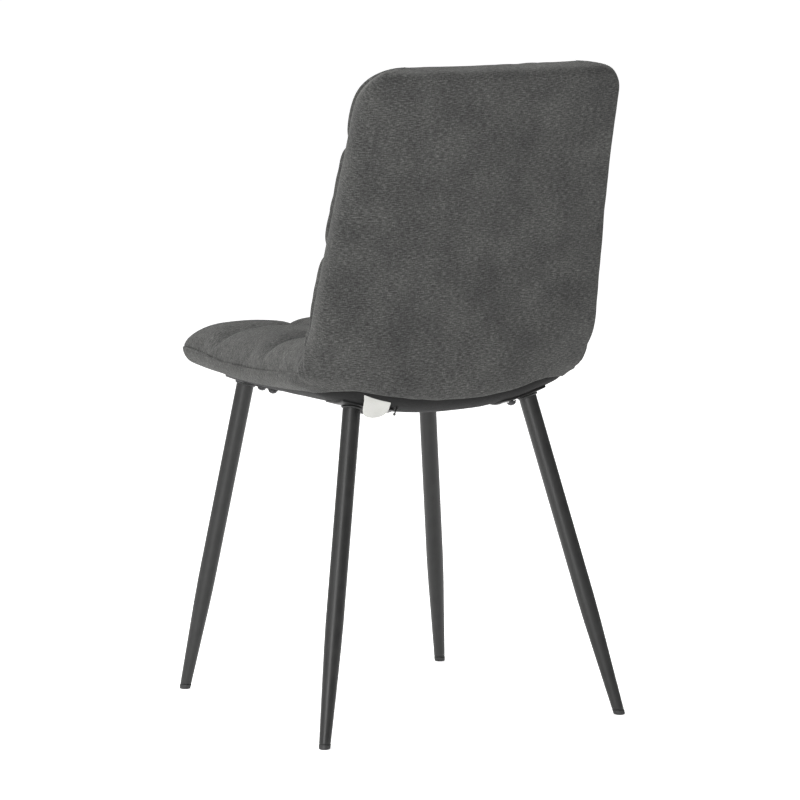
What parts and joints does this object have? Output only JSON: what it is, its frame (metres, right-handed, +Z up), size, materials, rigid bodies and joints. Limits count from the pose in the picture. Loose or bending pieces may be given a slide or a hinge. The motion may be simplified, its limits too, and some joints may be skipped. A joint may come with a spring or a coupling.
{
  "type": "upholstered dining chair",
  "caption": "Armless dining chair: one-piece upholstered shell, quilted in squares in front and plain behind, on splayed tapered round black metal legs.",
  "frame": {"origin": "floor level, in the middle of the chair's overall box", "axes": "+Z up, the sitter faces -Y, +X is the sitter's left"},
  "size_m": [0.4686, 0.5294, 0.8802],
  "materials": {
    "fabric": "dark grey woven melange chenille, matt",
    "plywood": "bare moulded plywood, hidden by the upholstery",
    "lining": "black non-woven lining",
    "legs": "black satin powder coat",
    "glides": "black moulded plastic",
    "fasteners": "black zinc plated steel",
    "label": "blank off-white woven label"
  },
  "bodies": {
    "root": {"back_pad": "fabric", "bolt_front_left_inner": "fasteners", "bolt_front_left_outer": "fasteners", "bolt_front_right_inner": "fasteners", "bolt_front_right_outer": "fasteners", "bolt_rear_left_inner": "fasteners", "bolt_rear_left_outer": "fasteners", "bolt_rear_right_inner": "fasteners", "bolt_rear_right_outer": "fasteners", "glide_front_left": "glides", "glide_front_right": "glides", "glide_rear_left": "glides", "glide_rear_right": "glides", "label": "label", "label_tie": "glides", "leg_front_left": "legs", "leg_front_right": "legs", "leg_plate_front_left": "legs", "leg_plate_front_right": "legs", "leg_plate_rear_left": "legs", "leg_plate_rear_right": "legs", "leg_rear_left": "legs", "leg_rear_right": "legs", "rear_cover": "fabric", "seat_pad": "fabric", "shell_ply": "plywood", "tnut_front_left_inner": "fasteners", "tnut_front_left_outer": "fasteners", "tnut_front_right_inner": "fasteners", "tnut_front_right_outer": "fasteners", "tnut_rear_left_inner": "fasteners", "tnut_rear_left_outer": "fasteners", "tnut_rear_right_inner": "fasteners", "tnut_rear_right_outer": "fasteners", "under_lining": "lining", "washer_front_left_inner": "fasteners", "washer_front_left_outer": "fasteners", "washer_front_right_inner": "fasteners", "washer_front_right_outer": "fasteners", "washer_rear_left_inner": "fasteners", "washer_rear_left_outer": "fasteners", "washer_rear_right_inner": "fasteners", "washer_rear_right_outer": "fasteners"}
  },
  "joints": []
}
